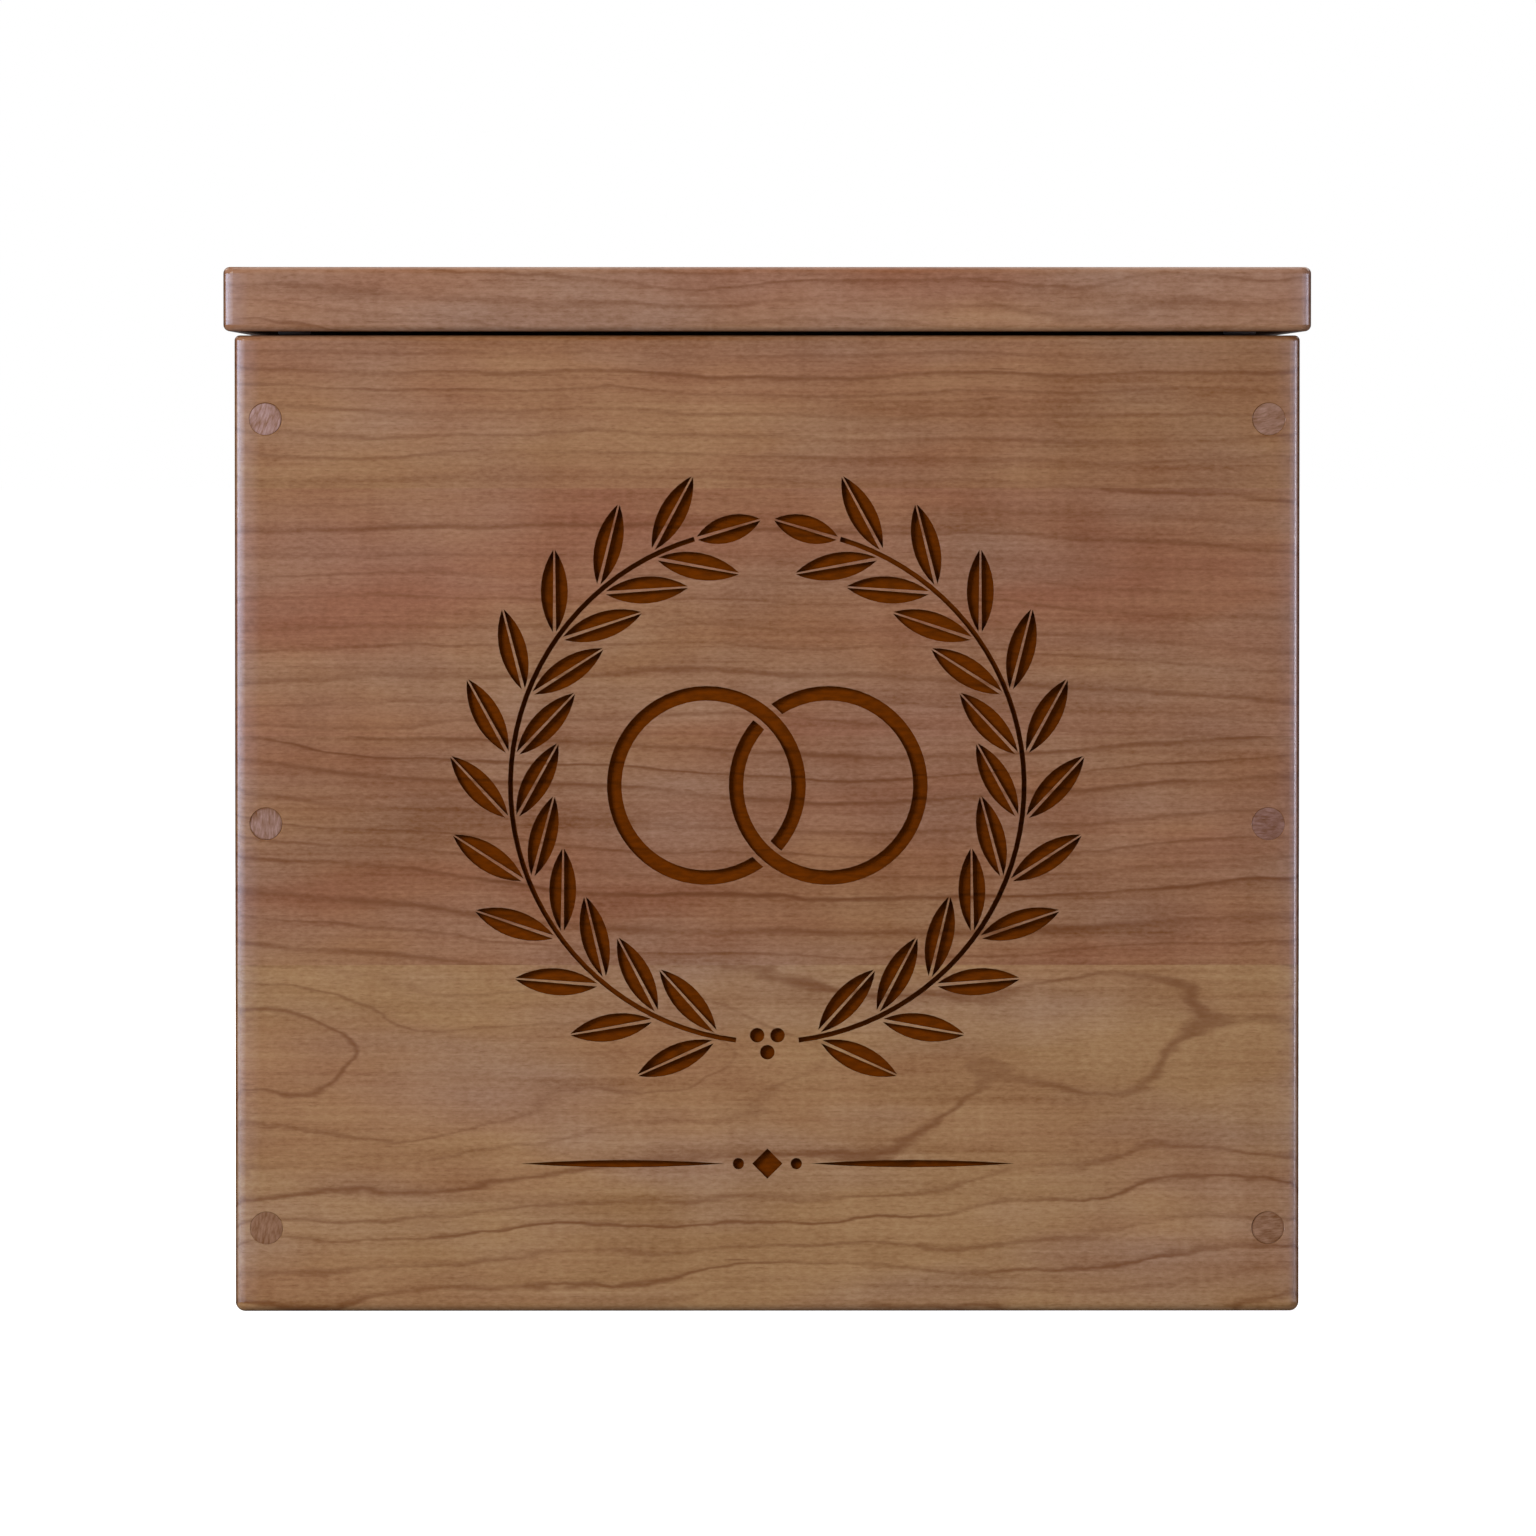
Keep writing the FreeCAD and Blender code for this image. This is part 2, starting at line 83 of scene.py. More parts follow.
class Shading:
    """A shader tree under construction: short forms for adding nodes, taking numbers or sockets alike."""

    def __init__(self, tree):
        self.tree = tree

    def join(self, socket, value):
        if isinstance(value, bpy.types.NodeSocket):
            self.tree.links.new(value, socket)
        elif socket.type == "RGBA":
            socket.default_value = (*value, 1.0)
        else:
            socket.default_value = value

    def node(self, kind, inputs, **settings):
        made = self.tree.nodes.new("ShaderNode" + kind)
        for setting, value in settings.items():
            setattr(made, setting, value)
        for key, value in inputs.items():
            self.join(made.inputs[key], value)
        return made

    def math(self, operation, *values):
        return self.node("Math", dict(enumerate(values)), operation=operation).outputs[0]

    def add(self, *values):
        total = values[0]
        for value in values[1:]:
            total = self.math("ADD", total, value)
        return total

    def times(self, *values):
        total = values[0]
        for value in values[1:]:
            total = self.math("MULTIPLY", total, value)
        return total

    def less(self, value, *others):
        for other in others:
            value = self.math("SUBTRACT", value, other)
        return value

    def ramp(self, value, start, end, low=0.0, high=1.0, smooth=True):
        """Value carried from the span start..end to low..high, and held outside it."""
        kind = "SMOOTHSTEP" if smooth else "LINEAR"
        made = self.node("MapRange", {0: value, 1: start, 2: end, 3: low, 4: high}, interpolation_type=kind)
        return made.outputs[0]

    def vector(self, x, y, z):
        return self.node("CombineXYZ", {0: x, 1: y, 2: z}).outputs[0]

    def parts(self, vector):
        return self.node("SeparateXYZ", {0: vector}).outputs

    def scaled(self, vector, scale, shift=(0.0, 0.0, 0.0)):
        """Each part of a vector times its scale, plus its shift."""
        return self.node("VectorMath", {0: vector, 1: scale, 2: shift}, operation="MULTIPLY_ADD").outputs[0]

    def noise(self, vector, detail=2.0, roughness=0.5):
        """Noise with features about one unit apart: (value, colour)."""
        inputs = {"Vector": vector, "Scale": 1.0, "Detail": detail, "Roughness": roughness}
        made = self.node("TexNoise", inputs)
        return made.outputs[0], made.outputs[1]

    def draw(self, value):
        """One random number from 0 to 1 for each whole number."""
        return self.node("TexWhiteNoise", {"W": value}, noise_dimensions="1D").outputs[0]

    def mix(self, share, a, b, blend="MIX"):
        made = self.node("Mix", {0: share, 6: a, 7: b}, data_type="RGBA", blend_type=blend)
        return made.outputs[2]


class Finish(Shading):
    """A material under construction."""

    def __init__(self, name):
        self.material = bpy.data.materials.new(name)
        self.material.use_nodes = True
        super().__init__(self.material.node_tree)
        self.shader = self.tree.nodes["Principled BSDF"]

    def millimetres(self):
        """Object coordinates in millimetres."""
        return self.scaled(self.node("TexCoord", {}).outputs["Object"], (PER_MM,) * 3)

    def facing(self):
        """The surface's direction in the piece's own axes."""
        return self.parts(self.node("TexCoord", {}).outputs["Normal"])

    def attribute(self, name, output):
        return self.node("Attribute", {}, attribute_name=name).outputs[output]

    def bump(self, height, depth_mm):
        """Relief of the given depth where height runs from 0 to 1."""
        return self.node("Bump", {"Strength": 1.0, "Distance": depth_mm * MM, "Height": height}).outputs[0]

    def set(self, **sockets):
        """Shader inputs by name, with underscores for spaces."""
        for name, value in sockets.items():
            self.join(self.shader.inputs[name.replace("_", " ")], value)
        return self.material


# A stave of a glued-up board: where it starts across the board, where the tree's heart lay (across, and
# behind the show face), how the heart line drifts and leans along the grain, its bow per 100 mm squared, the
# width of a growth ring, how far the rings stray from round, how strongly its rings show, how golden, how
# drab and how much lighter than the rest the wood is, and how much darker it grows per 100 mm along the grain
Stave = namedtuple("Stave", "start heart_across heart_behind drift lean bow ring stray strength"
                            " gold drab lighter darkening")

# The length that a stave's bow and darkening are given for
stave_reach = 100.0

# The span given to a value that all staves share, so that nothing is divided by zero
least_span = 1e-6


def per_stave(finish, across, width, staves, names):
    """Three named values of the staves, each as a step function over the board's width."""
    table = np.array([[getattr(stave, name) for name in names] for stave in staves], float)
    low = table.min(axis=0)
    span = np.maximum(table.max(axis=0) - low, least_span)
    share = finish.ramp(across, width[0], width[1], smooth=False)
    made = finish.node("ValToRGB", {0: share})
    made.color_ramp.interpolation = "CONSTANT"
    steps = made.color_ramp.elements
    while len(steps) < len(staves):
        steps.new(1.0)
    for step, stave, row in zip(steps, staves, (table - low) / span):
        step.position = (stave.start - width[0]) / (width[1] - width[0])
        step.color = (*row, 1.0)
    return finish.parts(finish.scaled(made.outputs[0], tuple(span), tuple(low)))


# A kind of noise drawn out along wood grain or drawn metal: its features per millimetre along the grain and
# across it, its detail and roughness, and the lot number that sets it apart from the others
Grain = namedtuple("Grain", "along across detail roughness lot")


def drawn_out(finish, spot, grain, shift=(0.0, 0.0)):
    """Noise of a kind at a spot, drawn out along the first axis and moved along the other two by a shift:
    (value, colour)."""
    stretch = (grain.along, grain.across, grain.across)
    return finish.noise(finish.scaled(spot, stretch, (0.0, *shift)), grain.detail, grain.roughness)


# How the rings leave their round: slow bends, as far as the stave strays, then small waves and fine ripples
bends = Grain(0.012, 0.024, 1.0, 0.5, 1)
waves = Grain(0.035, 0.11, 1.5, 0.5, 2)
ripples = Grain(0.10, 0.30, 2.0, 0.5, 3)
wave_size = 2.2
ripple_least = 0.5
ripple_per_stray = 0.10

# How uneven the rings are in width: noise features per millimetre, and its size in rings
uneven_pitch = 0.07
uneven_rings = 1.3

# The dark line that ends a growth ring: how far its outer side and the whole of it reach on the face
line_edge = 0.9
line_width = 1.9

# Where the face runs along the rings: the least slant counted, and how far the line keeps its width there,
# from 0, not at all, to 1
least_slant = 0.25
line_hold = 0.7

# How the lines come and go: noise features per millimetre along the grain and per ring, its detail, the span
# of it that counts, and the shares of strength that the faintest stretch and the faintest ring keep
fade_along = 0.020
fade_per_ring = 0.9
fade_detail = 3.0
fade_span = (0.34, 0.60)
faintest_stretch = 0.35
faintest_ring = 0.3

# The share of a ring's width over which it darkens
shade_span = (0.3, 0.95)


def growth_rings(finish, spot, facing, width, staves, seed):
    """Dark line strength, ring shade and slow darkening of solid wood at a spot (along, across, behind);
    facing is the surface's direction in the same three axes.

    The distance from the tree's heart line, bent by slow noise, is cut into rings of uneven width. Each ring
    darkens slowly and ends in a soft line whose strength is drawn by lot. Where the face runs along the rings
    the line is drawn on less of the ring, so that it grows only a little wider.
    """
    along, across, behind = finish.parts(spot)

    def values(*names):
        return per_stave(finish, across, width, staves, names)

    def noise(grain):
        return drawn_out(finish, spot, grain, (seed * grain.lot, 0.0))

    heart_across, heart_behind, bow = values("heart_across", "heart_behind", "bow")
    drift, lean, ring = values("drift", "lean", "ring")
    stray, strength, darkening = values("stray", "strength", "darkening")
    sway = finish.parts(noise(bends)[1])
    wave = finish.times(finish.less(noise(waves)[0], 0.5), wave_size)
    ripple_size = finish.add(ripple_least, finish.times(stray, ripple_per_stray))
    ripple = finish.times(finish.less(noise(ripples)[0], 0.5), ripple_size)

    def bent(place, share):
        return finish.add(place, finish.times(finish.less(share, 0.5), stray))

    reach = finish.times(along, 1.0 / stave_reach)
    sag = finish.times(bow, reach, reach)
    u = finish.less(bent(across, sway[0]), heart_across, finish.times(drift, along), sag)
    v = finish.less(bent(behind, sway[1]), heart_behind, finish.times(lean, along))
    distance = finish.node("VectorMath", {0: finish.vector(u, v, 0.0)}, operation="LENGTH").outputs["Value"]
    crossing = finish.math("ABSOLUTE", finish.less(finish.times(u, facing[2]), finish.times(v, facing[1])))
    slant = finish.add(finish.math("DIVIDE", crossing, distance), finish.math("ABSOLUTE", facing[0]))
    slant = finish.ramp(slant, 0.0, 1.0, least_slant, 1.0)
    distance = finish.add(distance, wave, finish.times(ripple, slant))

    uneven = finish.noise(finish.vector(finish.times(distance, uneven_pitch), seed, 0.0), detail=1.0)[0]
    turns = finish.add(finish.math("DIVIDE", distance, ring), finish.times(uneven, uneven_rings))
    number = finish.math("FLOOR", turns)
    share = finish.math("FRACT", turns)
    to_line = finish.times(finish.less(1.0, share), ring)
    to_line = finish.math("DIVIDE", to_line, finish.math("POWER", slant, line_hold))
    lot = finish.draw(finish.add(number, seed))
    stretch = finish.vector(finish.times(along, fade_along), finish.times(turns, fade_per_ring), seed)
    fade = finish.ramp(finish.noise(stretch, fade_detail)[0], *fade_span, faintest_stretch, 1.0)
    outer = finish.ramp(to_line, 0.0, line_edge)
    inner = finish.ramp(to_line, line_edge, line_width, 1.0, 0.0)
    chance = finish.ramp(lot, 0.0, 1.0, faintest_ring, 1.0, smooth=False)
    line = finish.times(outer, inner, chance, fade, strength)
    depth = finish.ramp(lot, 0.0, 1.0, faintest_ring, 1.0)
    shade = finish.times(finish.ramp(share, *shade_span), outer, depth, slant)
    return line, shade, finish.times(darkening, reach)


# The wood between the lines
grains = {
    "streak": Grain(0.010, 0.75, 3.0, 0.6, 0),
    "cloud": Grain(0.014, 0.05, 2.5, 0.55, 10),
    "curl": Grain(0.07, 0.016, 1.0, 0.5, 20),
    "pore": Grain(0.20, 1.7, 2.0, 0.7, 30),
    "gum": Grain(0.035, 0.42, 1.0, 0.5, 40),
    "mottle": Grain(0.42, 0.95, 2.0, 0.65, 50),
    "veil": Grain(0.010, 0.035, 2.0, 0.6, 60),
    "smoke": Grain(0.006, 0.11, 2.0, 0.5, 70),
    "tone": Grain(0.006, 0.022, 1.0, 0.5, 80),
}

# The grains that show only in places: the spans of their noise, less 0.5, from none of them to full
rare = {"pore": (0.05, 0.24), "gum": (0.27, 0.32), "smoke": (0.06, 0.30)}

# How much the grains count in the step from red to gold and on to drab, in the lightness, in the roughness
# and in the relief
gold_weights = {"tone": 1.7, "cloud": 0.9, "streak": 0.25}
drab_weights = {"veil": 1.9}
light_weights = {"cloud": 0.46, "curl": 0.26, "streak": 0.46, "mottle": 0.64, "shade": -0.12, "smoke": -0.20,
                 "darker": -1.0}
rough_weights = {"pore": 0.12, "cloud": 0.10, "end_grain": 0.15}
relief_weights = {"pore": -0.8, "streak": 0.5}
pore_share = 0.34
gum_share = 0.5

# Darker wood is also deeper in colour: how much more than red each channel falls
deepening = (1.0, 1.45, 2.1)

# End grain drinks more oil and comes out darker, and it is darkened further as painted shade, so that the
# rounded ends of the boards darken at the outline: the share of each channel that is left, and how squarely a
# face cuts the grain where that sets in and where it is full
end_grain_and_shade_tint = (0.41, 0.37, 0.355)
end_grain_span = (0.72, 0.94)

# The varnish: the wood's roughness under it, its weight on the faces and on end grain, and its own roughness
satin_roughness = 0.42
face_coat = 0.9
end_coat = 0.2
coat_roughness = 0.2

# How far from its ends along the grain a board is sanded lower, by how much at the very end, and how deep its
# grain can be felt
eased_length = 8.0
eased_depth = 0.9
relief_depth = 0.03

# A board: its node and material, its axes (along the grain, across the staves, through the board), +1 or -1
# for the way along the last one that leads away from the show face, its staves, the seed of its noise, and
# whether it is engraved
Board = namedtuple("Board", "node material axes inward staves seed engraved")


def deepened(finish, base, light):
    """A colour made lighter by a share, or darker and deeper."""
    tint = [finish.add(1.0, finish.times(light, share)) for share in deepening]
    return finish.mix(1.0, base, finish.vector(*tint), blend="MULTIPLY")


def cherry(board):
    """Satin cherry for a board: growth rings over a base that drifts between red, gold and drab, with end
    grain darker in its own colour and darker still as painted shade, a varnish film and ends sanded lower."""
    finish = Finish(board.material)
    low, high = node_corners(board.node)
    grain_axis, stave_axis, depth_axis = board.axes
    inward = float(board.inward)
    place = finish.parts(finish.millimetres())
    along, across = place[grain_axis], place[stave_axis]
    show = (low if inward > 0 else high)[depth_axis]
    behind = finish.times(finish.less(place[depth_axis], float(show)), inward)
    spot = finish.vector(along, across, behind)
    width = (low[stave_axis], high[stave_axis])
    normal = finish.facing()
    facing = (normal[grain_axis], normal[stave_axis], finish.times(normal[depth_axis], inward))
    line, shade, darker = growth_rings(finish, spot, facing, width, board.staves, board.seed)
    gold, drab, lighter = per_stave(finish, across, width, board.staves, ("gold", "drab", "lighter"))
    end_grain = finish.ramp(finish.math("ABSOLUTE", facing[0]), *end_grain_span)

    wood = {"shade": shade, "darker": darker, "end_grain": end_grain}
    for name, grain in grains.items():
        value = finish.less(drawn_out(finish, spot, grain, (0.0, board.seed + grain.lot))[0], 0.5)
        wood[name] = finish.ramp(value, *rare[name]) if name in rare else value

    def mixture(start, weights):
        """Start plus the wood's values, each times its weight."""
        return finish.add(start, *(finish.times(wood[name], weight) for name, weight in weights.items()))

    golden = finish.ramp(mixture(gold, gold_weights), 0.0, 1.0, smooth=False)
    faded = finish.ramp(mixture(drab, drab_weights), 0.0, 1.0, smooth=False)
    base = finish.mix(faded, finish.mix(golden, cherry_red, cherry_gold), cherry_drab)
    base = deepened(finish, base, mixture(lighter, light_weights))
    base = finish.mix(finish.times(wood["pore"], pore_share), base, cherry_fleck)
    base = finish.mix(finish.math("MAXIMUM", line, finish.times(wood["gum"], gum_share)), base, cherry_line)
    # End grain: its own darker colour, deepened further as painted shade at the rounded ends
    base = finish.mix(end_grain, base, finish.mix(1.0, base, end_grain_and_shade_tint, blend="MULTIPLY"))
    roughness = mixture(satin_roughness, rough_weights)
    coat = finish.ramp(end_grain, 0.0, 1.0, face_coat, end_coat, smooth=False)
    if board.engraved:
        base, roughness, coat = burnt(finish, base, roughness, coat, place, behind, line)

    middle = float(high[grain_axis] + low[grain_axis]) / 2
    half = float(high[grain_axis] - low[grain_axis]) / 2
    from_middle = finish.math("ABSOLUTE", finish.less(along, middle))
    eased = finish.ramp(from_middle, half - eased_length, half, smooth=False)
    eased = finish.times(eased, eased, -1.0)
    grained = finish.times(mixture(0.0, relief_weights), relief_depth / eased_depth)
    wood_relief = finish.bump(finish.add(grained, eased), eased_depth)
    film_relief = finish.bump(eased, eased_depth)
    return finish.set(Base_Color=base, Roughness=roughness, Normal=wood_relief, Specular_IOR_Level=0.0,
                      Coat_Weight=coat, Coat_Roughness=coat_roughness, Coat_Normal=film_relief)


# Where the engraving lies on the front board, and how deep it goes
engraved_half_width = 112.0
engraved_low = 26.0
engraved_high = 272.0
engraved_depth = 2.0

# Depths over which the burn sets in below the show face, ends behind the pockets, and turns from wall to
# floor
burn_start = (0.02, 0.10)
burn_end = (3.0, 3.2)
burn_floor = (engraved_depth - 0.25, engraved_depth - 0.02)

# The uneven scorch of the floor: noise features per millimetre, the span of the noise that counts, the share
# of brown that is left where it is darkest and on the strongest growth line, and how much rougher than
# varnished wood the burn is
scorch_scale = (0.25, 0.0, 0.8)
scorch_span = (0.2, 0.8)
scorch_least = 0.6
scorch_on_line = 0.5
burnt_roughness = 0.3


def burnt(finish, base, roughness, coat, place, behind, line):
    """Scorched brown below the show face inside the engraved field: black-brown walls, whose burn is darkened
    further as painted shade, a browner floor and no varnish. Takes and gives back colour, roughness and
    varnish."""
    x, _, z = place
    inside = finish.times(finish.ramp(behind, *burn_start), finish.ramp(behind, *burn_end, 1.0, 0.0),
                          finish.math("LESS_THAN", finish.math("ABSOLUTE", x), engraved_half_width),
                          finish.math("GREATER_THAN", z, engraved_low),
                          finish.math("LESS_THAN", z, engraved_high))
    scorch = finish.noise(finish.scaled(finish.vector(*place), scorch_scale), detail=2.0)[0]
    scorch = finish.ramp(scorch, *scorch_span, scorch_least, 1.0)
    lined = finish.ramp(line, 0.0, 1.0, 1.0, scorch_on_line)
    floor = finish.times(finish.ramp(behind, *burn_floor), scorch, lined)
    # The walls take the burnt colour darkened as painted shade; the floor stays browner
    colour = finish.mix(inside, base, finish.mix(floor, burnt_wall_and_shade, burnt_floor))
    roughness = finish.add(roughness, finish.times(inside, burnt_roughness))
    return colour, roughness, finish.times(coat, finish.less(1.0, inside))


# A plug's wood: its fine streaks and broad bands, how much each of them lightens it, and how dark it is where
# both are at nothing
plug_streaks = Grain(0.30, 1.5, 3.0, 0.65, 0)
plug_bands = Grain(0.12, 0.35, 2.0, 0.5, 5)
plug_streak_light = 1.6
plug_band_light = 0.7
plug_dark_start = -1.15
plug_seed = 3.0
plug_relief = 0.03

# The glue line round a plug: the patches that break it up, the span of their noise from none of the line to
# all of it, and the shares of the radius over which it sets in
glue_patches = Grain(0.22, 0.22, 1.0, 0.5, 9)
glue_span = (0.40, 0.60)
glue_rim = (0.87, 0.97)

# The spans of a noise over which a finish goes from one roughness to another, and these two for each finish
streak_span = (0.2, 0.8)
mottle_span = (0.3, 0.7)
plug_roughness = (0.52, 0.38)
ply_roughness = (0.50, 0.62)
brass_roughness = (0.24, 0.42)
screw_roughness = (0.35, 0.50)
steel_roughness = (0.30, 0.50)
rubber_roughness = (0.55, 0.70)


def plug_wood(name, seed):
    """Face-grain plug on its own map: its own stain, fine streaks, and an uneven glue line at the rim."""
    finish = Finish(name)
    face = finish.node("UVMap", {}, uv_map="plug_face").outputs[0]

    def noise(grain):
        """Noise of a kind on the face's map, whose first axis runs across the grain."""
        place = finish.scaled(face, (grain.across, grain.along, 0.0), (0.0, 0.0, seed + grain.lot))
        return finish.noise(place, grain.detail, grain.roughness)[0]

    streaks = noise(plug_streaks)
    bands = noise(plug_bands)
    light = finish.add(finish.times(streaks, plug_streak_light), finish.times(bands, plug_band_light),
                       plug_dark_start)
    rim = finish.ramp(finish.attribute("rim", "Fac"), *glue_rim)
    patch = finish.ramp(noise(glue_patches), *glue_span)
    line = finish.times(rim, finish.attribute("glue", "Fac"), patch)
    base = finish.mix(line, deepened(finish, finish.attribute("stain", "Color"), light), cherry_line)
    return finish.set(Base_Color=base, Roughness=finish.ramp(streaks, *streak_span, *plug_roughness),
                      Normal=finish.bump(streaks, plug_relief), Specular_IOR_Level=0.08,
                      Coat_Weight=0.3, Coat_Roughness=0.3)


# The bottom's veneer: bands per millimetre across the grain, how they sway and by how many bands, the shares
# of a band at which its dark line begins and is darkest, and its fine streaks
veneer_bands = 0.045
veneer_sways = Grain(0.012, 0.03, 2.0, 0.5, 7.0)
veneer_sway_bands = 5.0
veneer_line_start = 0.5
veneer_line_full = 0.92
veneer_streaks = Grain(0.02, 1.1, 3.0, 0.6, 2.0)
veneer_relief = 0.03

# The plies on its edges: their thickness, and how far a face looks up or down where they start to fade and
# where they are gone
ply_thickness = 1.0
ply_edge_span = (0.3, 0.6)

# How much lines, streaks and every second ply darken it, and the span of their sum from pale to dark
veneer_line_share = 0.6
veneer_streak_share = 0.5
ply_share = 0.5
veneer_dark_span = (0.15, 1.0)


def plywood(name):
    """Plain-sawn veneer on the bottom panel, with the plies showing on its edges."""
    finish = Finish(name)
    place = finish.millimetres()
    _, y, z = finish.parts(place)
    lowest = float(node_corners("bottom_panel")[0][2])

    def noise(grain):
        flat = finish.scaled(place, (grain.along, grain.across, 0.0), (0.0, 0.0, grain.lot))
        return finish.noise(flat, grain.detail, grain.roughness)[0]

    sway = finish.times(noise(veneer_sways), veneer_sway_bands)
    band = finish.math("FRACT", finish.add(finish.times(y, veneer_bands), sway))
    line = finish.times(finish.ramp(band, veneer_line_start, veneer_line_full),
                        finish.ramp(band, veneer_line_full, 1.0, 1.0, 0.0))
    streak = noise(veneer_streaks)
    pair = finish.math("FRACT", finish.times(finish.less(z, lowest), 0.5 / ply_thickness))
    edge = finish.ramp(finish.math("ABSOLUTE", finish.facing()[2]), *ply_edge_span, 1.0, 0.0)
    plies = finish.times(edge, finish.math("GREATER_THAN", pair, 0.5))
    share = finish.add(finish.times(line, veneer_line_share), finish.times(streak, veneer_streak_share),
                       finish.times(plies, ply_share))
    base = finish.mix(finish.ramp(share, *veneer_dark_span), ply_pale, ply_dark)
    return finish.set(Base_Color=base, Roughness=finish.ramp(streak, *streak_span, *ply_roughness),
                      Normal=finish.bump(streak, veneer_relief))


# Metal: the span of its noise from bright to dull; the brass's tarnish and drawn lines, how much each of them
# dulls it, and how deep the lines are; how far the steel goes dull
dull_span = (0.35, 0.7)
tarnish_patches = Grain(0.2, 0.3, 4.0, 0.6, 0)
drawn_lines = Grain(0.25, 6.0, 3.0, 0.6, 0)
tarnish_share = 0.7
drawn_share = 0.25
drawn_depth = 0.008
steel_dull_share = 0.5

# The rubber's moulded grain: its features per millimetre and its depth
rubber_scale = (3.0, 3.0, 3.0)
rubber_relief = 0.03

# Painted shade in a screw's cross recess: how far below the head it starts to darken and is darkest, and how
# dark it gets
recess_start = 0.05
recess_full = 0.4
recess_share = 0.9


def brass(name):
    """Satin brass with fine drawn lines along the barrel and a little tarnish."""
    finish = Finish(name)
    place = finish.millimetres()
    drawn = drawn_out(finish, place, drawn_lines)[0]
    tarnish = finish.ramp(drawn_out(finish, place, tarnish_patches)[0], *dull_span)
    share = finish.add(finish.times(tarnish, tarnish_share), finish.times(drawn, drawn_share))
    base = finish.mix(share, brass_bright, brass_dull)
    roughness = finish.ramp(drawn, *streak_span, *brass_roughness)
    return finish.set(Base_Color=base, Metallic=1.0, Roughness=roughness,
                      Normal=finish.bump(drawn, drawn_depth))


def screw_brass(name, pin_height, head_depth):
    """Duller brass of the hinge screws, with painted shade inside the cross recess: head_depth is the way
    from the pin's height to the heads."""
    finish = Finish(name)
    place = finish.millimetres()
    mottle = finish.noise(place, detail=3.0, roughness=0.6)[0]
    base = finish.mix(finish.ramp(mottle, *dull_span), brass_bright, brass_dull)
    # Painted shade inside the cross recess, darker with the way below the head
    depth = finish.math("ABSOLUTE", finish.less(finish.parts(place)[2], pin_height))
    painted_shade = finish.ramp(depth, head_depth + recess_start, head_depth + recess_full)
    base = finish.mix(finish.times(painted_shade, recess_share), base, recess_shade)
    roughness = finish.ramp(mottle, *mottle_span, *screw_roughness)
    return finish.set(Base_Color=base, Metallic=1.0, Roughness=roughness)


def zinc_steel(name):
    """Zinc-plated screw steel with a mottled dulness."""
    finish = Finish(name)
    mottle = finish.noise(finish.millimetres(), detail=3.0, roughness=0.6)[0]
    base = finish.mix(finish.ramp(mottle, *dull_span, 0.0, steel_dull_share), steel_grey, steel_dull)
    roughness = finish.ramp(mottle, *mottle_span, *steel_roughness)
    return finish.set(Base_Color=base, Metallic=1.0, Roughness=roughness)


def rubber(name):
    """Matt brown rubber with a fine moulded grain."""
    finish = Finish(name)
    grain = finish.noise(finish.scaled(finish.millimetres(), rubber_scale), detail=3.0)[0]
    base = finish.mix(finish.ramp(grain, *mottle_span), rubber_brown, rubber_pale)
    return finish.set(Base_Color=base, Roughness=finish.ramp(grain, *mottle_span, *rubber_roughness),
                      Normal=finish.bump(grain, rubber_relief))


# Boards: the staves of each, from its low edge up or from front to back

front_staves = [
    Stave(0.0, 76.0, 46.0, 0.01, 0.06, 0.6, 6.0, 20.0, 0.78, 0.92, 0.12, 0.07, 0.0),
    Stave(104.4, -10.0, 62.0, -0.01, 0.03, 3.2, 7.0, 8.0, 1.08, 0.36, 0.24, -0.05, 0.0),
    Stave(174.0, 330.0, 48.0, 0.0, -0.04, -1.8, 6.8, 8.0, 0.66, 0.22, 0.20, 0.0, 0.023),
    Stave(250.0, 180.0, 55.0, 0.01, 0.02, 0.4, 5.6, 7.0, 0.74, 0.52, 0.08, 0.03, 0.045),
]
back_staves = [
    Stave(0.0, -60.0, 50.0, 0.02, 0.03, 1.4, 6.0, 8.0, 0.76, 0.30, 0.16, -0.06, 0.02),
    Stave(88.0, 132.0, 40.0, -0.02, 0.06, 0.8, 5.4, 18.0, 0.78, 0.70, 0.10, 0.02, -0.015),
    Stave(181.0, 300.0, 58.0, 0.01, -0.04, -1.6, 6.4, 8.0, 0.74, 0.22, 0.18, -0.03, 0.01),
]
left_staves = [
    Stave(0.0, 58.0, 44.0, 0.02, 0.05, 0.9, 5.6, 16.0, 0.76, 0.62, 0.12, 0.0, 0.0),
    Stave(97.0, -40.0, 60.0, 0.02, -0.03, 2.0, 6.2, 8.0, 0.78, 0.28, 0.20, -0.08, 0.02),
    Stave(202.0, 340.0, 52.0, -0.01, 0.03, -1.2, 6.0, 8.0, 0.74, 0.40, 0.14, 0.02, -0.02),
]
right_staves = [
    Stave(0.0, -70.0, 52.0, 0.01, 0.03, 1.8, 6.4, 8.0, 0.76, 0.34, 0.18, -0.05, -0.02),
    Stave(110.0, 158.0, 42.0, -0.03, 0.05, 0.7, 5.2, 18.0, 0.78, 0.66, 0.10, 0.02, 0.01),
    Stave(206.0, 120.0, 56.0, 0.01, -0.03, 1.5, 5.8, 8.0, 0.74, 0.25, 0.16, -0.03, 0.02),
]
lid_staves = [
    Stave(-152.05, -168.0, 66.0, 0.02, 0.02, 1.6, 6.2, 24.0, 0.54, 0.35, 0.40, 0.09, 0.0),
    Stave(-70.0, -18.0, 46.0, 0.01, -0.05, 0.9, 5.4, 14.0, 0.76, 0.58, 0.3, 0.0, 0.02),
    Stave(38.0, -60.0, 58.0, -0.02, 0.03, 1.8, 6.4, 8.0, 0.76, 0.24, 0.2, -0.04, -0.01),
]

